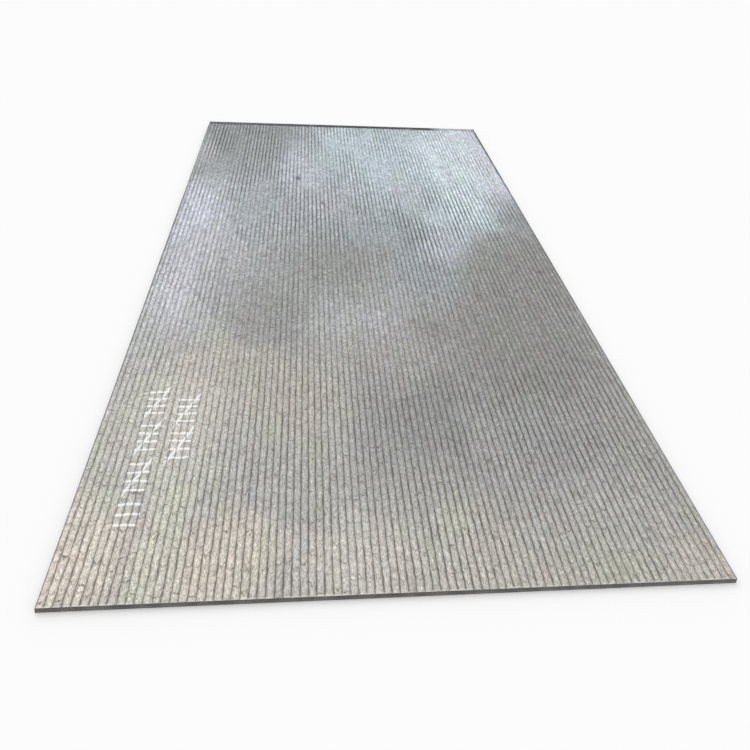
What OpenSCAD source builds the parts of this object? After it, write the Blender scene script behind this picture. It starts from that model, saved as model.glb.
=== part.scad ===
// Hardfaced wear plate: a rolled mild-steel plate with a hard weld overlay on its upper face.
// The overlay is laid in long parallel beads, and the sheet is then cut to size with a torch,
// which leaves four cut edges that lean in a little from the underside to the top.
// The origin is at the centre of the underside. The beads run along Y, and Z is up.

/* [Plate] */
// Width across the beads, at the underside
plate_w = 2100; // [600:10:3000]
// Length along the beads, at the underside
plate_l = 3500; // [1000:10:6000]
// Thickness of the rolled base plate
base_t = 10; // [5:0.5:30]

/* [Overlay] */
// Thickness of the overlay, from the base plate to the crowns of the beads
overlay_t = 10; // [4:0.5:16]
// Distance from the middle of one bead to the middle of the next
bead_pitch = 24.7; // [16:0.1:60]
// Depth of the groove between two beads, below their crowns
groove_depth = 1.5; // [0.5:0.1:2.5]

/* [Cut edges] */
// How far the cut on each long edge leans in, over the full thickness
side_lean = 3.5; // [0:0.5:10]
// How far the cut on each end leans in, over the full thickness
end_lean = 5; // [0:0.5:10]

/* [Hidden] */
total_t = base_t + overlay_t;
// Width of the sheet where the overlay starts, which the beads have to cover
seam_w = plate_w - 2 * side_lean * base_t / total_t;
bead_n = ceil(seam_w / bead_pitch);
// A crown is an arc with the pitch as its chord and the groove's depth as its rise
crown_r = (pow(bead_pitch / 2, 2) + pow(groove_depth, 2)) / (2 * groove_depth);
$fn = 180;

// A bar along Y, as thick as the sheet, whose two long edges lean in
module leaning_bar(width, length, lean) {
    rotate([90, 0, 0])
        linear_extrude(height = length, center = true)
            polygon([
                [-width / 2, 0],
                [width / 2, 0],
                [width / 2 - lean, total_t],
                [-width / 2 + lean, total_t]
            ]);
}

// The space left between the four torch cuts
module cut_sheet() {
    intersection() {
        leaning_bar(plate_w, plate_l, side_lean);
        rotate([0, 0, 90])
            leaning_bar(plate_l, plate_w, end_lean);
    }
}

// Section of one bead, standing on the seam with the base plate
module bead_section() {
    intersection() {
        translate([0, overlay_t - crown_r])
            circle(r = crown_r);
        translate([-bead_pitch / 2, 0])
            square([bead_pitch, overlay_t]);
    }
}

// All the beads side by side, fused into one layer
module bead_layer() {
    rotate([90, 0, 0])
        linear_extrude(height = plate_l, center = true)
            for (i = [0 : bead_n - 1])
                translate([(i - (bead_n - 1) / 2) * bead_pitch, 0])
                    bead_section();
}

module base_plate() {
    color("#6b6b69")
        intersection() {
            cut_sheet();
            translate([-plate_w / 2, -plate_l / 2, 0])
                cube([plate_w, plate_l, base_t]);
        }
}

module hardface_overlay() {
    color("#b9b5ae")
        intersection() {
            cut_sheet();
            translate([0, 0, base_t])
                bead_layer();
        }
}

base_plate();
hardface_overlay();
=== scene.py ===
import math

import bpy
import numpy as np
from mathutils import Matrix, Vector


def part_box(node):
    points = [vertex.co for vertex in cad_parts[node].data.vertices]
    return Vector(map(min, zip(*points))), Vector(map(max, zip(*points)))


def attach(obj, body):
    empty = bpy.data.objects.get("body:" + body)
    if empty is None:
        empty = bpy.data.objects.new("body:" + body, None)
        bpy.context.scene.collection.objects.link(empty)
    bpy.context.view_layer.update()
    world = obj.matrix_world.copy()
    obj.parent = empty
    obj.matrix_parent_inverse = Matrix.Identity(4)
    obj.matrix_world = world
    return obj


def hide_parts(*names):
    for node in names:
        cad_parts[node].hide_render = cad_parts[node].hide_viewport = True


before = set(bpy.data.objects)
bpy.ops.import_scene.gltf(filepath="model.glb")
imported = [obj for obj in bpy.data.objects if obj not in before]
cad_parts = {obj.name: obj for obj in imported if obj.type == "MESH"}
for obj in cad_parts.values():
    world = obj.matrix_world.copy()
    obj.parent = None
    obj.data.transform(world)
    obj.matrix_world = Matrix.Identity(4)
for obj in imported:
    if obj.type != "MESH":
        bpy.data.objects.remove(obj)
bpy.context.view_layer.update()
scene = bpy.context.scene


# Camera
# The plate lies flat and is seen from one end, from above and a little to the left.
# The lens and the place follow from the four corners of the upper face in the photograph.
camera_place = (-0.2891, -2.3551, 1.6615)
camera_turn = (49.105, -3.143, -3.445)
camera_data = bpy.data.cameras.new("camera")
camera_data.lens = 25.3
camera_data.shift_x = 0.033
camera_data.shift_y = -0.089
camera = bpy.data.objects.new("camera", camera_data)
camera.location = camera_place
camera.rotation_euler = [math.radians(degrees) for degrees in camera_turn]
scene.collection.objects.link(camera)
scene.camera = camera


# Base plate
# The rolled mild-steel plate that carries the overlay, 10 mm thick and flat on both faces.
# Its four edges are cut with a torch, which leaves a dark oxide skin and upright drag lines.
base_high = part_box("base_plate")[1]
overlay_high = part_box("hardface_overlay")[1]
half_w = base_high.x
half_l = base_high.y
seam_z = base_high.z
crown_z = overlay_high.z
side_slope = (half_w - overlay_high.x) / seam_z
end_slope = (half_l - overlay_high.y) / seam_z

# Relief of a torch cut, in metres: its slow sway, its drag lines and its melted lower lip
cut_sway = 0.00025
sway_lengths = (0.9, 0.35, 0.13)
drag_depth = 0.00012
drag_pitch = 0.0028
lip_inset = 0.0005
lip_height = 0.0006
edge_step = 0.005
base_cut_seed = 11

# How strongly drag lines trail with depth, and the angle in degrees from which an edge is sharp
drag_lag = 12.0
crease_angle = 28

# Greys of the cuts, of their drag lines and of the mill scale, and the rust, as 0 to 255 on screen
base_cut_dark = (104, 103, 102)
base_cut_light = (126, 124, 122)
line_dark = (120, 120, 120)
line_mid = (188, 188, 188)
line_light = (225, 224, 222)
cut_rust = (118, 88, 66)
scale_dark = (78, 80, 84)
scale_mid = (100, 101, 103)
scale_worn = (126, 124, 121)
scale_rust = (124, 92, 68)

# Grain of the mottle on the cuts and on the mill scale, in metres
cut_grain = 0.012
scale_grain = 0.02


def srgb(colour):
    """A colour given as 0 to 255 on screen, for a colour socket."""
    shares = [c / 255 for c in colour]
    return [c / 12.92 if c < 0.04045 else ((c + 0.055) / 1.055) ** 2.4 for c in shares] + [1.0]


def cut_wander(along, seed):
    """How far a torch cut stands out from its plane, in metres, at places along the edge."""
    draw = np.random.default_rng(seed)
    sway = np.zeros_like(along)
    for length in sway_lengths:
        sway += np.sin(2 * np.pi * (along / length + draw.random())) / len(sway_lengths)
    return cut_sway * sway + drag_depth * draw.uniform(-1, 1, along.size)


def make_object(name, points, faces, materials, face_materials):
    """A mesh object in the plate's own frame, smooth apart from its sharp edges."""
    mesh = bpy.data.meshes.new(name)
    mesh.from_pydata(points, [], faces)
    for material in materials:
        mesh.materials.append(material)
    mesh.polygons.foreach_set("material_index", face_materials)
    mesh.polygons.foreach_set("use_smooth", [True] * len(mesh.polygons))
    mesh.set_sharp_from_angle(angle=math.radians(crease_angle))
    made = bpy.data.objects.new(name, mesh)
    scene.collection.objects.link(made)
    return made


def add(tree, kind, inputs=None, **settings):
    """One shader node. Inputs are named or numbered, and take a value or another node's socket."""
    node = tree.nodes.new("ShaderNode" + kind)
    for name, value in settings.items():
        setattr(node, name, value)
    for name, value in (inputs or {}).items():
        if isinstance(value, bpy.types.NodeSocket):
            tree.links.new(value, node.inputs[name])
        else:
            node.inputs[name].default_value = value
    return node


def work_out(tree, operation, *values):
    """A Math node's result."""
    return add(tree, "Math", dict(enumerate(values)), operation=operation).outputs[0]


def product(tree, *values):
    """Several values multiplied."""
    total = values[0]
    for value in values[1:]:
        total = work_out(tree, "MULTIPLY", total, value)
    return total


def fade(tree, value, low, high, at_low=0.0, at_high=1.0):
    """A soft step of a value between two limits."""
    limits = {"Value": value, "From Min": low, "From Max": high, "To Min": at_low, "To Max": at_high}
    return add(tree, "MapRange", limits, interpolation_type="SMOOTHSTEP").outputs["Result"]


def noise(tree, place, scale, detail, roughness=0.5):
    """A smooth random value from place to place."""
    inputs = {"Vector": place, "Scale": scale, "Detail": detail, "Roughness": roughness}
    return add(tree, "TexNoise", inputs).outputs["Fac"]


def scaled(tree, vector, factor):
    """A place or a colour times a value."""
    return add(tree, "VectorMath", {0: vector, "Scale": factor}, operation="SCALE").outputs["Vector"]


def blend(tree, share, first, second, way="MIX"):
    """Two colours mixed. A Mix node has its colours on inputs 6 and 7, and their mix on output 2."""
    inputs = {"Factor": share, 6: first, 7: second}
    return add(tree, "Mix", inputs, data_type="RGBA", blend_type=way).outputs[2]


def ramp(tree, share, stops):
    """A colour ramp from pairs of a place and a colour."""
    node = add(tree, "ValToRGB", {"Fac": share})
    points = node.color_ramp.elements
    while len(points) < len(stops):
        points.new(0.5)
    for point, (place, colour) in zip(points, stops):
        point.position = place
        point.color = srgb(colour)
    return node.outputs["Color"]


def bump(tree, height, strength, depth):
    """A normal for relief that is finer than the mesh."""
    inputs = {"Height": height, "Strength": strength, "Distance": depth}
    return add(tree, "Bump", inputs).outputs["Normal"]


def wire(tree, inputs, sources):
    """Links from sockets to a node's inputs of the given names."""
    for name, source in sources.items():
        tree.links.new(source, inputs[name])


def new_group(name, inputs, outputs):
    """An empty shader node group with (name, kind, default) inputs, and its end sockets."""
    group = bpy.data.node_groups.new(name, "ShaderNodeTree")
    for label, kind, default in inputs:
        socket = group.interface.new_socket(label, in_out="INPUT", socket_type="NodeSocket" + kind)
        socket.default_value = default
    for label, kind in outputs:
        group.interface.new_socket(label, in_out="OUTPUT", socket_type="NodeSocket" + kind)
    return group, group.nodes.new("NodeGroupInput").outputs, group.nodes.new("NodeGroupOutput").inputs


def new_material(name):
    """A material's node tree, its Principled shader, and the material itself."""
    material = bpy.data.materials.new(name)
    material.use_nodes = True
    return material.node_tree, material.node_tree.nodes["Principled BSDF"], material


# Speckle: the fine light and dark mottle of bare, weathered steel, with pits and painted glints.
pit_share = 0.22
painted_glint_share = 0.26
speckle, given, result = new_group(
    "speckle",
    [("Vector", "Vector", (0, 0, 0)), ("Grain", "Float", 0.006)],
    [("Value", "Float"), ("Pits", "Float"), ("PaintedGlints", "Float")],
)
sized = scaled(speckle, given["Vector"], work_out(speckle, "DIVIDE", 1.0, given["Grain"]))
spots = add(speckle, "TexVoronoi", {"Vector": sized, "Scale": 0.8}).outputs
chance = add(speckle, "SeparateColor", {0: spots["Color"]}).outputs["Red"]
spot = fade(speckle, spots["Distance"], 0.12, 0.42, 1.0, 0.0)
wire(speckle, result, {
    "Value": noise(speckle, sized, scale=1.0, detail=3.0, roughness=0.65),
    "Pits": product(speckle, spot, work_out(speckle, "LESS_THAN", chance, pit_share)),
    "PaintedGlints": product(speckle, spot, work_out(speckle, "GREATER_THAN", chance, 1.0 - painted_glint_share)),
})

# Drag lines: the upright ripples that a torch leaves on a cut face, trailing near the bottom.
drag_lines, given, result = new_group(
    "drag_lines",
    [("Vector", "Vector", (0, 0, 0)), ("Pitch", "Float", 0.003)],
    [("Lines", "Float"), ("Streaks", "Float")],
)
at = add(drag_lines, "SeparateXYZ", {0: given["Vector"]}).outputs
depth = work_out(drag_lines, "SUBTRACT", crown_z, at["Z"])
lag = product(drag_lines, depth, depth, drag_lag)
along = work_out(drag_lines, "ADD", work_out(drag_lines, "ADD", at["X"], at["Y"]), lag)
trailing = work_out(drag_lines, "DIVIDE", along, given["Pitch"])
fine = add(drag_lines, "TexNoise", {"W": trailing, "Scale": 1.0, "Detail": 2.0}, noise_dimensions="1D")
broad = add(drag_lines, "TexNoise", {"W": trailing, "Scale": 0.04, "Detail": 3.0}, noise_dimensions="1D")
wire(drag_lines, result, {"Lines": fine.outputs["Fac"], "Streaks": broad.outputs["Fac"]})


def add_speckle(tree, place, grain):
    """The outputs of the speckle at one grain size."""
    return add(tree, "Group", {"Vector": place, "Grain": grain}, node_tree=speckle).outputs


def torch_cut_material(name, dark, light, rust):
    """A cut face: oxide skin between two greys, with drag lines and a little rust."""
    tree, shader, material = new_material(name)
    place = add(tree, "TexCoord").outputs["Object"]
    cut = add(tree, "Group", {"Vector": place, "Pitch": drag_pitch}, node_tree=drag_lines).outputs
    mottle = add_speckle(tree, place, cut_grain)["Value"]
    grey = blend(tree, fade(tree, cut["Streaks"], 0.3, 0.7), srgb(dark), srgb(light))
    shades = ramp(tree, cut["Lines"], [(0.25, line_dark), (0.6, line_mid), (0.85, line_light)])
    lined = blend(tree, 0.55, grey, shades, "OVERLAY")
    rusty = product(tree, fade(tree, mottle, 0.52, 0.75), rust)
    relief = work_out(tree, "ADD", cut["Lines"], product(tree, mottle, 0.3))
    wire(tree, shader.inputs, {
        "Base Color": blend(tree, rusty, lined, srgb(cut_rust)),
        "Roughness": fade(tree, cut["Lines"], 0.2, 0.8, 0.72, 0.5),
        "Metallic": fade(tree, rusty, 0.0, 0.4, 0.55, 0.1),
        "Normal": bump(tree, relief, strength=0.8, depth=0.0004),
    })
    return material


def rolled_material():
    """The rolled face: blue-grey mill scale, worn thin in patches and spotted with rust."""
    tree, shader, material = new_material("rolled_mill_scale")
    place = add(tree, "TexCoord").outputs["Object"]
    stretched = add(tree, "Mapping", {"Vector": place, "Scale": (6.0, 1.2, 6.0)}).outputs["Vector"]
    patches = noise(tree, stretched, scale=1.0, detail=6.0, roughness=0.6)
    mottle = add_speckle(tree, place, scale_grain)["Value"]
    scale = ramp(tree, patches, [(0.3, scale_dark), (0.5, scale_mid), (0.68, scale_worn)])
    gritty = scaled(tree, scale, fade(tree, mottle, 0.3, 0.7, 0.80, 1.20))
    rusty = product(tree, fade(tree, mottle, 0.50, 0.66), fade(tree, patches, 0.42, 0.65))
    wire(tree, shader.inputs, {
        "Base Color": blend(tree, rusty, gritty, srgb(scale_rust)),
        "Roughness": fade(tree, mottle, 0.3, 0.7, 0.48, 0.66),
        "Metallic": fade(tree, rusty, 0.0, 0.5, 0.6, 0.1),
        "Normal": bump(tree, mottle, strength=0.5, depth=0.0006),
    })
    return material


def edge_columns(step):
    """Places round the outline, as shares of its half width and half length, corner by corner."""
    across = np.linspace(-1, 1, int(2 * half_w / step) + 1)[:-1]
    length = np.linspace(-1, 1, int(2 * half_l / step) + 1)[:-1]
    ring = [(u, -1.0) for u in across] + [(1.0, v) for v in length]
    return np.array(ring + [(-u, 1.0) for u in across] + [(-1.0, -v) for v in length])


def make_base_plate():
    """One closed mesh: the cut faces all round, the underside, and the face under the overlay."""
    ring = edge_columns(edge_step)
    count = len(ring)
    at_end = np.abs(ring[:, 1]) == 1.0
    out = np.where(at_end[:, None], [[0, 1]], [[1, 0]]) * np.sign(ring)
    corner = np.all(np.abs(ring) == 1.0, axis=1)
    wander = cut_wander(np.arange(count) * edge_step, base_cut_seed)
    wander[corner] = 0.0
    # Height and inset of the melted lower lip, the lower edge, the middle and the seam
    levels = ((0.0, lip_inset), (lip_height, 0.0), (0.5 * seam_z, 0.0), (seam_z, 0.0))
    points = []
    for z, inset in levels:
        reach = np.array([half_w - side_slope * z - inset, half_l - end_slope * z - inset])
        level = ring * reach + out * wander[:, None] * (z > 0)
        points += [(x, y, z) for x, y in level]
    faces = []
    for row in range(len(levels) - 1):
        for i in range(count):
            a, b = row * count + i, row * count + (i + 1) % count
            faces.append((a, b, b + count, a + count))
    cut_faces = len(faces)
    seam_ring = (len(levels) - 1) * count
    middle = len(points)
    points += [(0, 0, 0), (0, 0, seam_z)]
    faces += [(middle, (i + 1) % count, i) for i in range(count)]
    faces += [(middle + 1, seam_ring + i, seam_ring + (i + 1) % count) for i in range(count)]
    materials = [
        torch_cut_material("torch_cut_base", base_cut_dark, base_cut_light, rust=0.45),
        rolled_material(),
    ]
    face_materials = [0] * cut_faces + [1] * (2 * count)
    plate = make_object("base_plate_steel", points, faces, materials, face_materials)
    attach(plate, "root")
    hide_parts("base_plate")


make_base_plate()


# Hardface overlay
# A hard alloy welded onto the base in long parallel beads, each fused into the one before it.
# It is left as welded: low crowns, dark grooves, cracks across the beads and a mottled skin.
bead_pitch = 0.0247
bead_n = math.ceil(2 * overlay_high.x / bead_pitch)
groove_depth = 0.0016
edge_melt = 0.0003
row_step = 0.007
strip_n = 10
top_half_w = half_w - side_slope * crown_z
top_half_l = half_l - end_slope * crown_z
left_cut_seed = 21
right_cut_seed = 22
end_cut_seed = 30

# Where the columns of one bead lie, from groove to groove, and how far each lies below the crown
bead_shares = np.array([0.0, 0.085, 0.2, 0.5, 0.8, 0.915])
bead_drops = np.array([1.0, 0.36, 0.12, 0.0, 0.12, 0.36])

# Wander along the beads, as pairs of wavelength and height: of the grooves' line in metres, of
# their depth as a share, and of the crowns in metres
groove_sway = [(0.60, 0.0005), (0.15, 0.0006), (0.06, 0.00055), (0.03, 0.00030)]
groove_swell = [(0.25, 0.14), (0.07, 0.12)]
crown_swell = [(0.4, 0.0001), (0.11, 0.0001)]
wavelength_spread = (0.75, 1.35)
crown_low = 0.0003
crown_spread = 0.0002
shape_seed = 2100

rows = np.linspace(-half_l, half_l, int(2 * half_l / row_step) + 1)
shape_draw = np.random.default_rng(shape_seed)


def waves(draw, parts):
    """A smooth wander along the beads, from (wavelength, height) pairs."""
    height = np.zeros_like(rows)
    for wavelength, size in parts:
        length = wavelength * draw.uniform(*wavelength_spread)
        height += size * np.sin(2 * np.pi * (rows / length + draw.random()))
    return height


# Groove lines between the beads. The outermost two are the plate's own cut edges.
groove_x = np.array([
    (k - bead_n / 2) * bead_pitch + waves(shape_draw, groove_sway) for k in range(bead_n + 1)
])
groove_deep = np.array([
    groove_depth * (1 + waves(shape_draw, groove_swell)) for k in range(bead_n + 1)
])
groove_x[0], groove_x[-1] = -top_half_w, top_half_w
groove_deep[0], groove_deep[-1] = edge_melt, edge_melt
crown_drop = np.array([
    crown_low + shape_draw.uniform(0, crown_spread) + waves(shape_draw, crown_swell)
    for k in range(bead_n)
])

# Places where a bead was stopped and started again: a shallow crater across the bead
stops_most = 2
stop_depth = 0.0006
stop_reach = (0.006, 0.012)
stop_share = (0.4, 1.0)
stop_mark = np.zeros((bead_n, rows.size))
for bead in range(bead_n):
    stops = shape_draw.integers(0, stops_most + 1)
    for place in shape_draw.uniform(-half_l, half_l, stops):
        reach = shape_draw.uniform(*stop_reach)
        stop_mark[bead] += shape_draw.uniform(*stop_share) * np.exp(-((rows - place) / reach) ** 2)


def bead_columns(first, last):
    """Places, heights, distance to the groove and stop marks of the columns of beads first to last."""
    found = []
    for bead in range(first, last):
        left, right = groove_x[bead], groove_x[bead + 1]
        for share, drop in zip(bead_shares, bead_drops):
            deep = groove_deep[bead] if share < 0.5 else groove_deep[bead + 1]
            x = left + share * (right - left)
            mark = stop_mark[bead] * (share > 0)
            z = crown_z - crown_drop[bead] * (share > 0) - deep * drop - stop_depth * mark
            to_left = x - left if bead > 0 else np.full_like(x, bead_pitch)
            to_right = right - x if bead < bead_n - 1 else np.full_like(x, bead_pitch)
            found.append((x, z, np.minimum(to_left, to_right), mark))
    gap = 0.0 if last < bead_n else bead_pitch
    found.append((groove_x[last], crown_z - groove_deep[last], np.full_like(rows, gap), np.zeros_like(rows)))
    return [np.array(part) for part in zip(*found)]


# Texture of a strip: its top folded into lanes side by side, then bands for its foot and walls
lane_n = 4
lane_rows = math.ceil((rows.size - 1) / lane_n)
lane_margin = 0.01
top_share = 0.82
top_margin = 0.004
foot_low, foot_high = 0.84, 0.90
wall_low, wall_high = 0.92, 0.99


def top_place(column, row, lane, cols):
    """Texture place of a point of the top."""
    u = (lane + lane_margin + (1 - 2 * lane_margin) * column / (cols - 1)) / lane_n
    v = top_share * (top_margin + (1 - 2 * top_margin) * (row - lane * lane_rows) / lane_rows)
    return u, v


def foot_place(column, row, cols):
    """Texture place of a point of the foot."""
    u = lane_margin + (1 - 2 * lane_margin) * row / (rows.size - 1)
    v = foot_low + (foot_high - foot_low) * column / (cols - 1)
    return u, v


def strip_faces(cols, ring, foot):
    """Faces of a strip, their material numbers and the texture places of their corners."""
    last_col, last_row = cols - 1, rows.size - 1
    faces, slots, places = [], [], []
    for c in range(last_col):
        for r in range(last_row):
            corners = [(c, r), (c + 1, r), (c + 1, r + 1), (c, r + 1)]
            faces.append([a * rows.size + b for a, b in corners])
            slots.append(0)
            places += [top_place(a, b, r // lane_rows, cols) for a, b in corners]
    for i, (c, r) in enumerate(ring):
        d, s = ring[(i + 1) % len(ring)]
        faces.append([foot[c, r], foot[d, s], d * rows.size + s, c * rows.size + r])
        slots.append(1)
        here, there = i / len(ring), (i + 1) / len(ring)
        places += [(here, wall_low), (there, wall_low), (there, wall_high), (here, wall_high)]
    front = [(c, 0) for c in range(cols)] + [(last_col, 1), (0, 1)]
    back = [(0, last_row - 1), (last_col, last_row - 1)]
    back += [(c, last_row) for c in range(last_col, -1, -1)]
    between = [[(0, r), (last_col, r), (last_col, r + 1), (0, r + 1)] for r in range(1, last_row - 1)]
    for outline in [front, back] + between:
        turned = outline[::-1]
        faces.append([foot[cell] for cell in turned])
        slots.append(1)
        places += [foot_place(c, r, cols) for c, r in turned]
    return faces, slots, places


def make_strip(number, first, last, materials):
    """One group of neighbouring beads, as a closed block down to the seam."""
    x, z, gap, mark = bead_columns(first, last)
    cols, row_n = x.shape
    y = np.tile(rows, (cols, 1))
    foot_x, foot_y, foot_z = x.copy(), y.copy(), np.full_like(z, seam_z)
    for across, level in ((x, z), (foot_x, foot_z)):
        if first == 0:
            across[0] = -(half_w - side_slope * level[0]) - cut_wander(rows, left_cut_seed)
        if last == bead_n:
            across[-1] = half_w - side_slope * level[-1] + cut_wander(rows, right_cut_seed)
    end_wander = cut_wander(x[:, 0], end_cut_seed + number)
    for length, level in ((y, z), (foot_y, foot_z)):
        length[:, 0] = -(half_l - end_slope * level[:, 0]) - end_wander
        length[:, -1] = half_l - end_slope * level[:, -1] + end_wander

    # The foot is one closed ring of points: front end, right side, back end, left side
    ring = [(c, 0) for c in range(cols)]
    ring += [(cols - 1, r) for r in range(1, row_n)]
    ring += [(c, row_n - 1) for c in range(cols - 2, -1, -1)]
    ring += [(0, r) for r in range(row_n - 2, 0, -1)]
    top = np.stack([x, y, z], axis=2).reshape(-1, 3)
    foot = {cell: len(top) + i for i, cell in enumerate(ring)}
    foot_points = np.array([(foot_x[cell], foot_y[cell], foot_z[cell]) for cell in ring])
    points = np.concatenate([top, foot_points]).tolist()
    faces, slots, places = strip_faces(cols, ring, foot)

    strip = make_object("overlay_beads_%02d" % (number + 1), points, faces, materials, slots)
    for label, values in (("groove_gap", gap), ("stop_mark", mark)):
        held = np.concatenate([values.ravel(), np.full(len(ring), bead_pitch)])
        strip.data.attributes.new(label, "FLOAT", "POINT").data.foreach_set("value", held)
    layer = strip.data.uv_layers.new(name="OFBake")
    layer.uv.foreach_set("vector", np.array(places, dtype=np.float32).ravel())
    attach(strip, "root")
    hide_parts("hardface_overlay")


def vectors(tree, operation, *values):
    """A Vector Math node's result."""
    return add(tree, "VectorMath", dict(enumerate(values)), operation=operation).outputs["Vector"]


# Soft patch: a broad, soft-edged cloud, turned about its middle, for stains, for tone and for painted
# reflection and shade.
soft_patch, given, result = new_group(
    "soft_patch",
    [("Vector", "Vector", (0, 0, 0)), ("Middle", "Vector", (0, 0, 0)),
     ("Reach", "Vector", (1, 1, 1)), ("Turn", "Vector", (0, 0, 0))],
    [("Mask", "Float")],
)
moved = add(soft_patch, "Mapping", {
    "Vector": given["Vector"],
    "Location": given["Middle"],
    "Rotation": given["Turn"],
    "Scale": given["Reach"],
}, vector_type="TEXTURE").outputs["Vector"]
far = add(soft_patch, "VectorMath", {0: moved}, operation="LENGTH").outputs["Value"]
wire(soft_patch, result, {"Mask": fade(soft_patch, far, 0.2, 1.0, 1.0, 0.0)})

# Tally gate: a row of short strokes across the beads, the whole crossed by one slanting stroke.
stroke_long = 0.082
stroke_wide = 0.0095
stroke_step = 0.034
stroke_core = 0.3 * stroke_wide
stroke_rim = 0.55 * stroke_wide
stroke_ends = (0.46 * stroke_long, 0.5 * stroke_long)
slant_reach = 0.42 * stroke_long
slant_scale = 0.38 * stroke_long
tally_gate, given, result = new_group(
    "tally_gate",
    [("Vector", "Vector", (0, 0, 0)), ("Middle", "Vector", (0, 0, 0)),
     ("Strokes", "Float", 4.0), ("Crossed", "Float", 1.0)],
    [("Mask", "Float")],
)
offset = vectors(tally_gate, "SUBTRACT", given["Vector"], given["Middle"])
off = add(tally_gate, "SeparateXYZ", {0: offset}).outputs
half_row = product(tally_gate, given["Strokes"], 0.5 * stroke_step)
within = work_out(tally_gate, "LESS_THAN", work_out(tally_gate, "ABSOLUTE", off["Y"]), half_row)
across = work_out(tally_gate, "ABSOLUTE", off["X"])
ends = fade(tally_gate, across, *stroke_ends, 1.0, 0.0)
# Upright strokes, each in the middle of its step
steps = work_out(tally_gate, "DIVIDE", work_out(tally_gate, "ADD", off["Y"], half_row), stroke_step)
off_middle = work_out(tally_gate, "SUBTRACT", work_out(tally_gate, "FRACT", steps), 0.5)
beside = product(tally_gate, work_out(tally_gate, "ABSOLUTE", off_middle), stroke_step)
upright = product(tally_gate, fade(tally_gate, beside, stroke_core, stroke_rim, 1.0, 0.0), ends, within)
# The slanting stroke, from one end of the row to the other
rise = work_out(tally_gate, "DIVIDE", off["Y"], half_row)
run = work_out(tally_gate, "DIVIDE", off["X"], slant_reach)
off_slant = work_out(tally_gate, "ABSOLUTE", work_out(tally_gate, "SUBTRACT", rise, run))
beside = product(tally_gate, off_slant, slant_scale)
slant = fade(tally_gate, beside, stroke_core, stroke_rim, 1.0, 0.0)
crossing = product(tally_gate, slant, ends, given["Crossed"])
wire(tally_gate, result, {"Mask": work_out(tally_gate, "MAXIMUM", upright, crossing)})

# Two rows of tallies near the front left corner: middle of each, strokes, and whether it is crossed
tallies = [
    ((-0.746, -1.060), 4, 1),
    ((-0.746, -1.215), 4, 1),
    ((-0.864, -1.020), 4, 1),
    ((-0.864, -1.180), 4, 1),
    ((-0.864, -1.340), 4, 1),
    ((-0.864, -1.475), 3, 0),
]
paint_white = (242, 243, 244)
hand_shake = (0.012, 0.012, 0.0)

# Greys of the upper face: blue mill and heat scale, worn metal, and dust towards the front, with painted
# reflection of the sky in the lighter greys and painted shade in the darker ones
bright_scale_and_sky_sheen = (200, 211, 219)
white_scale_and_sky_sheen = (201, 206, 215)
violet_scale_and_sheen = (184, 188, 198)
blue_scale_and_sky_sheen = (179, 192, 200)
sky_sheen_and_scale = (190, 203, 211)
soft_scale_and_sheen = (176, 182, 190)
hazy_scale_and_sheen = (174, 177, 183)
pale_haze_and_sheen = (179, 180, 186)
smoky_scale_and_shade = (144, 149, 151)
dark_scale_and_shade = (134, 139, 140)
worn_grey_and_sheen = (168, 169, 172)
haze_grey_and_sheen = (161, 162, 165)
cool_grey = (166, 170, 174)
cold_grey = (152, 159, 163)
mid_grey = (155, 155, 156)
dull_grey = (143, 144, 143)
dark_grey = (143, 143, 141)
pale_dust_and_sheen = (189, 183, 173)
stone_dust_and_sheen = (186, 183, 177)
light_dust_and_sheen = (177, 174, 169)
warm_dust_and_sheen = (180, 178, 171)
green_dust_and_sheen = (180, 180, 169)
grey_dust_and_sheen = (174, 173, 170)
brown_dust_and_shade = (166, 163, 157)
dim_dust_and_shade = (160, 158, 156)
front_grey = (164, 163, 160)
back_grey = (156, 162, 166)
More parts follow.
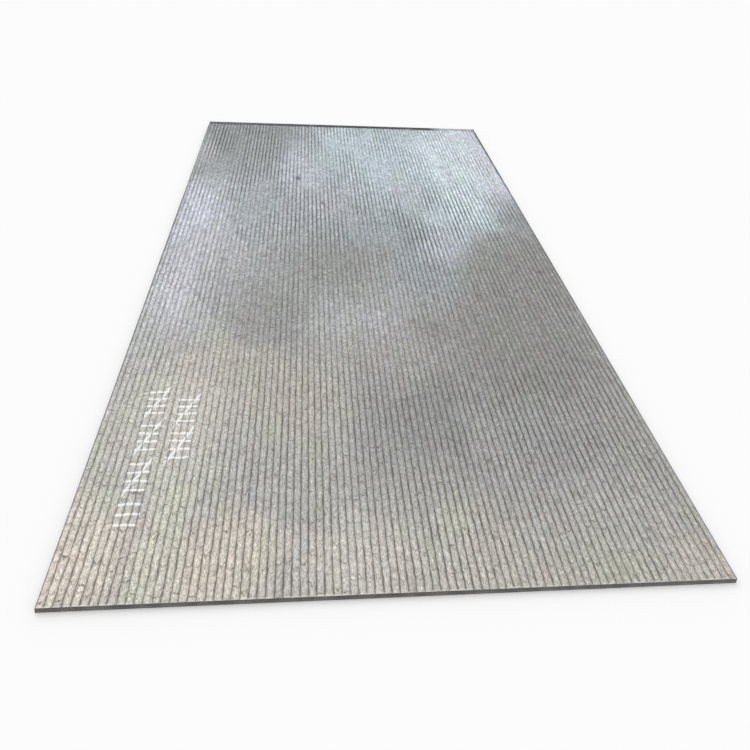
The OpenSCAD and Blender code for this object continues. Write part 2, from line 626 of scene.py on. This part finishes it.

# Broad clouds of those greys, partly the metal's own tone and partly painted reflection and shade: middle
# and reach in metres, turn in degrees, and the grey
clouds = [
    # Back half, cold and light: scale under a painted reflection of the sky
    ((0.40, 1.15), (0.95, 1.10), 0, blue_scale_and_sky_sheen),
    ((0.76, 1.20), (0.40, 0.95), 0, bright_scale_and_sky_sheen),
    ((1.02, 1.02), (0.26, 0.72), 0, white_scale_and_sky_sheen),
    ((0.95, 1.66), (0.22, 0.30), 0, white_scale_and_sky_sheen),
    ((0.66, 0.42), (0.30, 0.55), -25, sky_sheen_and_scale),
    ((0.70, 0.62), (0.22, 0.26), 0, bright_scale_and_sky_sheen),
    ((0.32, 0.70), (0.18, 0.32), 0, soft_scale_and_sheen),
    ((0.50, 0.10), (0.26, 0.36), -25, soft_scale_and_sheen),
    ((-0.34, 1.00), (0.17, 0.65), 0, soft_scale_and_sheen),
    ((-0.04, 1.50), (0.20, 0.32), 0, blue_scale_and_sky_sheen),
    # Back left corner, dark: scale under painted shade
    ((-0.85, 1.52), (0.60, 0.90), 8, dark_scale_and_shade),
    ((-0.58, 1.42), (0.22, 0.50), 0, smoky_scale_and_shade),
    ((-0.62, 1.64), (0.34, 0.26), 0, dark_scale_and_shade),
    ((-1.04, 1.25), (0.16, 0.30), 0, haze_grey_and_sheen),
    # Left side
    ((-0.93, 0.44), (0.25, 0.56), 0, violet_scale_and_sheen),
    ((-0.80, 0.02), (0.20, 0.46), 0, hazy_scale_and_sheen),
    ((-0.90, -0.32), (0.30, 0.46), 0, pale_haze_and_sheen),
    ((-0.70, -0.26), (0.18, 0.54), 0, haze_grey_and_sheen),
    # Middle
    ((-0.15, 0.50), (0.40, 0.35), 0, cool_grey),
    ((0.10, 0.16), (0.50, 0.38), 0, cold_grey),
    ((-0.14, -0.10), (0.52, 0.36), 0, dull_grey),
    ((0.42, -0.18), (0.30, 0.40), -25, cold_grey),
    ((-0.48, -0.50), (0.36, 0.50), 0, dull_grey),
    ((-0.08, -0.60), (0.32, 0.32), 0, worn_grey_and_sheen),
    # Right side, dark: partly painted shade
    ((0.87, -0.24), (0.46, 1.03), -28, dark_grey),
    ((0.65, -0.75), (0.60, 0.60), -30, dark_grey),
    ((0.46, 0.06), (0.22, 0.24), -25, soft_scale_and_sheen),
    ((0.28, -0.70), (0.22, 0.22), 0, dull_grey),
    ((0.17, -1.05), (0.42, 0.46), 0, dull_grey),
    ((0.65, -1.25), (0.42, 0.35), 0, mid_grey),
    ((0.75, -1.62), (0.60, 0.35), 0, grey_dust_and_sheen),
    # Front, warm: dust, with painted sheen in the lighter patches
    ((-0.05, -0.78), (0.55, 0.24), 0, dim_dust_and_shade),
    ((-0.42, -1.00), (0.40, 0.34), 0, brown_dust_and_shade),
    ((-0.77, -1.10), (0.36, 0.52), 0, light_dust_and_sheen),
    ((-0.62, -0.82), (0.34, 0.20), 0, brown_dust_and_shade),
    ((-0.56, -1.62), (0.32, 0.24), 0, pale_dust_and_sheen),
    ((-0.75, -1.60), (0.12, 0.42), 0, green_dust_and_sheen),
    ((-0.98, -1.62), (0.22, 0.30), 0, pale_dust_and_sheen),
    ((-0.08, -1.64), (0.36, 0.20), 0, stone_dust_and_sheen),
    ((0.28, -1.60), (0.26, 0.22), 0, warm_dust_and_sheen),
    ((0.50, -1.72), (0.70, 0.16), 0, warm_dust_and_sheen),
    ((1.00, -1.72), (0.20, 0.20), 0, stone_dust_and_sheen),
]
cloud_waver = (0.35, 0.45, 0.0)

# Heat tints that are laid over the clouds, by noise value, and how fast that changes across the
# plate, along it and from bead to bead
heat_tints = [
    (0.30, (249, 254, 246)),
    (0.42, (252, 252, 249)),
    (0.50, (251, 251, 252)),
    (0.58, (254, 250, 249)),
    (0.70, (248, 250, 254)),
]
tint_rates = (7.0, 4.0, 0.35)

# Small stains of burnt slag: middle, reach, turn and darkness
stains = [
    ((-0.351, 0.839), (0.028, 0.046), 0, 1.0),
    ((-0.196, 0.525), (0.018, 0.028), 0, 0.7),
    ((0.684, 0.946), (0.050, 0.050), 0, 0.40),
    ((0.633, 1.049), (0.036, 0.040), 0, 0.35),
]

# Places where the grooves hold less slag or more than elsewhere, and their painted shade is lighter or
# darker: middle, reach, turn and share
groove_shade_fills = [
    ((-0.90, 0.20), (0.50, 0.85), 0, 0.66),
    ((-0.55, -0.25), (0.24, 0.60), 0, 0.40),
    ((-0.85, -0.95), (0.55, 0.95), 0, 0.66),
    ((0.80, 1.20), (0.60, 0.90), 0, 0.80),
    ((0.50, 0.35), (0.30, 0.55), -20, 1.75),
    ((0.75, -1.25), (0.60, 0.65), 0, 1.15),
    ((-0.80, 1.42), (0.45, 0.55), 0, 1.35),
    ((0.02, -0.12), (0.46, 0.42), 0, 0.62),
    ((0.05, -0.62), (1.25, 0.42), 0, 0.68),
    ((0.72, -0.12), (0.38, 0.36), 0, 0.75),
    ((0.17, -1.60), (0.42, 0.28), 0, 1.18),
]
slag_and_shade_brown = (150, 143, 135)
edge_strip_dark = (52, 53, 56)
lip_glint_grey = (206, 204, 199)

# Gain of clean metal over the grey of its cloud
clean_gain = 1.05

# Sizes of the marks on the metal, in metres
fine_grain = 0.0042
coarse_grain = 0.011
blotch_grain = 0.024
groove_narrow = 0.0026
groove_wide = 0.0052
groove_rag = 0.0030

# Distances from the groove or the cut, in metres, between which each comes or goes: the painted shade of a
# bead's round, its painted highlight, the paint, the dark strip of the back end and the worn lip of the
# front end with its painted highlight
painted_shade_rise = (0.001, 0.0115)
shine_rise = (0.006, 0.012)
paint_skip = (0.0008, 0.0030)
back_strip_reach = (0.034, 0.056)
lip_glint_reach = (0.002, 0.006)

# Core and rim of the dark strips along the sides, in metres, at the front and at the back end
edge_strip_core = (0.0015, 0.008)
edge_strip_rim = (0.005, 0.017)

# Two sets of cracks: spacing along the bead and width in metres, and darkness
crack_sets = [(0.110, 0.0060, 0.9), (0.047, 0.0040, 0.6)]

# How far cracks bend and bow, in metres, how far askew they lie at most, and the shift that keeps
# the cracks of one bead apart from those of the next
crack_bend = 0.010
crack_bow = 0.014
bow_reach = 0.012
crack_slope = 0.45
bead_shuffle = 91.7

# Weld ripples: pitch in metres, how strongly they bow, and their height beside the mottle's
ripple_pitch = 0.0042
ripple_bow = 0.8
ripple_height = 0.06


def waver(tree, place, scale, detail, reach):
    """Places shifted at random by up to half the reach, so that what is drawn there wavers."""
    shift = add(tree, "TexNoise", {"Vector": place, "Scale": scale, "Detail": detail}).outputs["Color"]
    return vectors(tree, "MULTIPLY_ADD", vectors(tree, "SUBTRACT", shift, (0.5, 0.5, 0.5)), reach, place)


def add_patch(tree, place, middle, reach, turn):
    """The mask of one soft patch."""
    return add(tree, "Group", {
        "Vector": place,
        "Middle": (*middle, 0),
        "Reach": (*reach, 1),
        "Turn": (0, 0, math.radians(turn)),
    }, node_tree=soft_patch).outputs["Mask"]


def vary(tree, value, size):
    """A factor about 1 that follows a noise value by up to the given share either way."""
    return work_out(tree, "MULTIPLY_ADD", fade(tree, value, 0.3, 0.7, -1.0, 1.0), size, 1.0)


def largest(tree, *values):
    """The largest of several values."""
    total = values[0]
    for value in values[1:]:
        total = work_out(tree, "MAXIMUM", total, value)
    return total


def cloud_tone(tree, place, y):
    """The broad clouds of grey, partly the metal's own tone and partly painted reflection and shade, with
    wavering outlines.
    """
    wavering = waver(tree, place, scale=2.4, detail=4.0, reach=cloud_waver)
    tone = blend(tree, fade(tree, y, -1.5, 0.6), srgb(front_grey), srgb(back_grey))
    for middle, reach, turn, grey in clouds:
        tone = blend(tree, add_patch(tree, wavering, middle, reach, turn), tone, srgb(grey))
    return tone


def heat_tint(tree, at, lot):
    """Heat tints, which change slowly along a bead and are mostly shared by its neighbours."""
    across, along, apart = tint_rates
    place = add(tree, "CombineXYZ", {
        "X": product(tree, at["X"], across),
        "Y": product(tree, at["Y"], along),
        "Z": product(tree, lot, apart),
    }).outputs["Vector"]
    return ramp(tree, noise(tree, place, scale=1.0, detail=3.0, roughness=0.6), heat_tints)


def mottle_and_glint_gain(tree, fine, coarse, blotches, rough, y, lot):
    """How light the metal is beside its cloud: mottle, painted glints, and each bead a little apart."""
    gain = product(
        tree,
        vary(tree, fine["Value"], fade(tree, y, -1.5, 0.2, 0.30, 0.38)),
        vary(tree, coarse["Value"], product(tree, rough, 0.19)),
        vary(tree, blotches["Value"], product(tree, rough, 0.12)),
        fade(tree, lot, 0.0, 1.0, 0.97, 1.03),
    )
    gain = work_out(tree, "MULTIPLY_ADD", fine["PaintedGlints"], 0.5, gain)
    return work_out(tree, "MULTIPLY_ADD", coarse["PaintedGlints"], product(tree, rough, 0.33), gain)


def slag_and_shade_fill(tree, place, y):
    """How full of slag and grime the grooves lie, and how deep the painted shade of the grooves and bead
    rounds: 1 is usual, and towards the back it varies more.
    """
    slag_and_shade_share = 1.0
    for middle, reach, turn, share in groove_shade_fills:
        patch = add_patch(tree, place, middle, reach, turn)
        slag_and_shade_share = product(tree, slag_and_shade_share, work_out(tree, "MULTIPLY_ADD", patch, share - 1.0, 1.0))
    stretched = add(tree, "Mapping", {"Vector": place, "Scale": (4.5, 1.6, 1.0)}).outputs["Vector"]
    least = fade(tree, y, -0.7, 0.5, 0.9, 0.33)
    most = fade(tree, y, -0.7, 0.8, 0.98, 1.3)
    lying = noise(tree, stretched, scale=1.0, detail=2.0)
    return product(tree, slag_and_shade_share, fade(tree, lying, 0.38, 0.56, least, most))


def painted_crown_shading(tree, gap, slag_and_shade_share, y):
    """The painted shading of each bead's round: painted shade beside the grooves, and a painted highlight on
    the back crowns.
    """
    crown = work_out(tree, "MULTIPLY_ADD", fade(tree, gap, *painted_shade_rise, -0.16, 0.06), slag_and_shade_share, 1.0)
    shine = product(tree, fade(tree, gap, *shine_rise, -0.03, 0.08), fade(tree, y, -0.9, 0.2), slag_and_shade_share)
    return product(tree, work_out(tree, "ADD", crown, shine), clean_gain)


def groove_dirt_and_shade(tree, gap, slag_and_shade_share, coarse, uneven, y):
    """Ragged dark grooves of uneven width and darkness, fainter towards the back: slag in the grooves and
    painted shade.
    """
    edge = work_out(tree, "ADD", gap, 0.5 * groove_rag)
    ragged = work_out(tree, "MULTIPLY_ADD", coarse["Value"], -groove_rag, edge)
    width = fade(tree, uneven, 0.32, 0.68, groove_narrow, groove_wide)
    faintest = fade(tree, y, -1.4, -0.3, 0.66, 0.42)
    darkest = fade(tree, y, -1.4, -0.3, 0.90, 0.98)
    return product(
        tree,
        fade(tree, ragged, 0.0, width, 1.0, 0.0),
        slag_and_shade_share,
        fade(tree, uneven, 0.30, 0.62, faintest, darkest),
        fade(tree, y, -0.9, 1.3, 1.0, 0.70),
    )


def check_cracks(tree, along, gap, lot, coarse, uneven):
    """Cracks across single beads, bowed, broken and at uneven distances."""
    bow = fade(tree, uneven, 0.35, 0.6, 0.0, crack_bow)
    bowed = work_out(tree, "ADD", along, fade(tree, gap, 0.0, bow_reach, 0.0, bow))
    cracks = 0.0
    for spacing, width, strength in crack_sets:
        run = work_out(tree, "MULTIPLY_ADD", lot, bead_shuffle, work_out(tree, "DIVIDE", bowed, spacing))
        cells = add(tree, "TexVoronoi", {"W": run, "Scale": 1.0},
                    voronoi_dimensions="1D", feature="DISTANCE_TO_EDGE")
        share = width / spacing
        line = fade(tree, cells.outputs["Distance"], 0.1 * share, 0.5 * share, strength, 0.0)
        cracks = largest(tree, cracks, line)
    return product(tree, cracks, fade(tree, coarse["Value"], 0.36, 0.62, 0.15, 1.0))


def dark_edge_strips(tree, at, uneven):
    """Dark strips along the cuts, broadest at the back end."""
    from_left = work_out(tree, "ADD", top_half_w, at["X"])
    from_right = work_out(tree, "SUBTRACT", top_half_w, at["X"])
    from_back = work_out(tree, "SUBTRACT", top_half_l, at["Y"])
    core = fade(tree, at["Y"], -half_l, half_l, *edge_strip_core)
    rim = fade(tree, at["Y"], -half_l, half_l, *edge_strip_rim)
    left_strip = product(
        tree,
        fade(tree, from_left, core, rim, 1.0, 0.0),
        fade(tree, at["Y"], 0.3, 1.3, 0.65, 0.30),
    )
    right_strip = product(
        tree,
        fade(tree, from_right, core, rim, 1.0, 0.0),
        fade(tree, at["Y"], 0.2, 1.4, 0.75, 1.0),
    )
    back_strip = product(
        tree,
        fade(tree, from_back, *back_strip_reach, 1.0, 0.0),
        fade(tree, at["X"], -1.0, 0.0, 0.7, 1.0),
        fade(tree, at["X"], 0.66, 0.80, 1.0, 0.25),
    )
    edge_darkening = largest(tree, left_strip, right_strip, back_strip)
    return product(tree, edge_darkening, fade(tree, uneven, 0.30, 0.50, 0.7, 1.0))


def worn_and_glinting_lip(tree, at, uneven):
    """A pale lip along the front end: handling wear, and a painted highlight where the edge rounds over."""
    from_front = work_out(tree, "ADD", top_half_l, at["Y"])
    return product(tree, fade(tree, from_front, *lip_glint_reach, 0.7, 0.0), fade(tree, uneven, 0.42, 0.58))


def paint_marks(tree, place, gap, fine):
    """White tally strokes from a paint marker, which skips over the grooves."""
    shaky = waver(tree, place, scale=16.0, detail=1.0, reach=hand_shake)
    marks = 0.0
    for middle, strokes, crossed in tallies:
        inputs = {"Vector": shaky, "Middle": (*middle, 0), "Strokes": strokes, "Crossed": crossed}
        gate = add(tree, "Group", inputs, node_tree=tally_gate)
        marks = largest(tree, marks, gate.outputs["Mask"])
    dry = product(tree, fade(tree, gap, *paint_skip), fade(tree, fine["Value"], 0.30, 0.44))
    return product(tree, marks, work_out(tree, "MULTIPLY_ADD", dry, 0.8, 0.15))


def as_welded_material():
    """The skin of the beads: clouded grey metal with painted glints, dark in grooves, cracks and pits, with
    painted reflection and shade in its clouds, grooves and bead rounds.
    """
    tree, shader, material = new_material("as_welded_alloy")
    place = add(tree, "TexCoord").outputs["Object"]
    at = add(tree, "SeparateXYZ", {0: place}).outputs
    y = at["Y"]
    gap = add(tree, "Attribute", attribute_name="groove_gap").outputs["Fac"]
    stop = add(tree, "Attribute", attribute_name="stop_mark").outputs["Fac"]
    bead = work_out(tree, "ROUND", work_out(tree, "DIVIDE", at["X"], bead_pitch))
    lot = add(tree, "TexWhiteNoise", {"W": bead}, noise_dimensions="1D").outputs["Value"]
    uneven = noise(tree, place, scale=24.0, detail=3.0, roughness=0.6)

    # Mottle, drawn out along the beads. The front end is worn smoother.
    drawn_out = vectors(tree, "MULTIPLY", place, (1.0, 0.45, 1.0))
    fine = add_speckle(tree, drawn_out, fine_grain)
    coarse = add_speckle(tree, place, coarse_grain)
    blotches = add_speckle(tree, drawn_out, blotch_grain)
    rough = fade(tree, y, -1.5, 0.9, 0.4, 1.35)

    # Clean metal: mottle with painted glints, painted shade beside the grooves and painted highlights on the
    # crowns, over clouds that are partly painted reflection and shade
    slag_and_shade_share = slag_and_shade_fill(tree, place, y)
    mottle_and_glints = mottle_and_glint_gain(tree, fine, coarse, blotches, rough, y, lot)
    gain = product(tree, mottle_and_glints, painted_crown_shading(tree, gap, slag_and_shade_share, y))
    skin = blend(tree, 1.0, cloud_tone(tree, place, y), heat_tint(tree, at, lot), "MULTIPLY")
    skin = scaled(tree, skin, gain)

    # Slag and painted shade in the grooves, and grime in cracks, pits, stop marks and stains. The cracks lie
    # a little askew.
    slope = work_out(tree, "MULTIPLY_ADD", lot, 2 * crack_slope, -crack_slope)
    askew = work_out(tree, "ADD", y, product(tree, at["X"], slope))
    bent = noise(tree, place, scale=80.0, detail=3.0)
    along = work_out(tree, "MULTIPLY_ADD", bent, crack_bend, askew)
    cracks = check_cracks(tree, along, gap, lot, coarse, uneven)
    holes = product(tree, fine["Pits"], rough, 0.7)
    groove = groove_dirt_and_shade(tree, gap, slag_and_shade_share, coarse, uneven, y)
    grime_and_shade = largest(tree, groove, cracks, holes, product(tree, stop, 0.55))
    for middle, reach, turn, darkness in stains:
        grime_and_shade = largest(tree, grime_and_shade, product(tree, add_patch(tree, place, middle, reach, turn), darkness))
    soiled_and_shaded = blend(tree, product(tree, grime_and_shade, 0.95), skin, srgb(slag_and_shade_brown), "MULTIPLY")

    # Dark strips along the edges, the pale front lip with its painted highlight, and the paint
    edge_darkening = dark_edge_strips(tree, at, uneven)
    grime_and_shade = largest(tree, grime_and_shade, edge_darkening)
    soiled_and_shaded = blend(tree, edge_darkening, soiled_and_shaded, srgb(edge_strip_dark))
    soiled_and_shaded = blend(tree, worn_and_glinting_lip(tree, at, uneven), soiled_and_shaded, srgb(lip_glint_grey))
    marks = paint_marks(tree, place, gap, fine)
    bare = work_out(tree, "SUBTRACT", 1.0, marks)

    # Relief: weld ripples that bow along the bead, mottle, and the cracks and pits let in
    bow = work_out(tree, "MULTIPLY_ADD", gap, ripple_bow, along)
    ripple = work_out(tree, "SINE", product(tree, bow, 2 * math.pi / ripple_pitch))
    relief = work_out(tree, "MULTIPLY_ADD", ripple, ripple_height, fine["Value"])
    relief = work_out(tree, "SUBTRACT", relief, largest(tree, cracks, holes))
    wire(tree, shader.inputs, {
        "Base Color": blend(tree, marks, soiled_and_shaded, srgb(paint_white)),
        "Roughness": fade(tree, grime_and_shade, 0.0, 1.0, 0.55, 0.85),
        "Metallic": product(tree, bare, fade(tree, grime_and_shade, 0.0, 1.0, 0.45, 0.1)),
        "Normal": bump(tree, relief, strength=0.7, depth=0.0006),
    })
    return material


overlay_cut_dark = (94, 94, 95)
overlay_cut_light = (112, 111, 110)
overlay_materials = [
    as_welded_material(),
    torch_cut_material("torch_cut_overlay", overlay_cut_dark, overlay_cut_light, rust=0.2),
]
for number, beads in enumerate(np.array_split(np.arange(bead_n), strip_n)):
    make_strip(number, int(beads[0]), int(beads[-1]) + 1, overlay_materials)


# Floor and light
# A plain pale studio floor under soft light from all round, with one large lamp overhead.
floor_reach = 40.0
floor_drop = 0.0003
floor_white = (251, 251, 251)
floor_corners = [(-1, -1), (1, -1), (1, 1), (-1, 1)]
floor_points = [(floor_reach * x, floor_reach * y, 0) for x, y in floor_corners]
floor_mesh = bpy.data.meshes.new("floor")
floor_mesh.from_pydata(floor_points, [], [(0, 1, 2, 3)])
floor = bpy.data.objects.new("floor", floor_mesh)
floor.location.z = -floor_drop
scene.collection.objects.link(floor)
tree, shader, floor_paint = new_material("floor_paint")
shader.inputs["Base Color"].default_value = srgb(floor_white)
shader.inputs["Roughness"].default_value = 0.9
shader.inputs["Specular IOR Level"].default_value = 0.0
floor_mesh.materials.append(floor_paint)

lamp_turn = (-30, -25, 0)
lamp_spread = 50
lamp_data = bpy.data.lights.new("overhead_lamp", "SUN")
lamp_data.energy = 1.0
lamp_data.angle = math.radians(lamp_spread)
lamp = bpy.data.objects.new("overhead_lamp", lamp_data)
lamp.rotation_euler = [math.radians(degrees) for degrees in lamp_turn]
scene.collection.objects.link(lamp)

# The backdrop is white where it is seen, and lights the plate a little less strongly than that
backdrop_light = 0.76
world = bpy.data.worlds.new("studio")
scene.world = world
world.use_nodes = True
sky = world.node_tree
backdrop = sky.nodes["Background"]
backdrop.inputs["Color"].default_value = (1, 1, 1, 1)
ray = add(sky, "LightPath").outputs
seen = largest(sky, ray["Is Camera Ray"], ray["Is Glossy Ray"], ray["Is Transmission Ray"])
wire(sky, backdrop.inputs, {"Strength": fade(sky, seen, 0.0, 1.0, backdrop_light, 1.0)})

scene.view_settings.view_transform = "Standard"
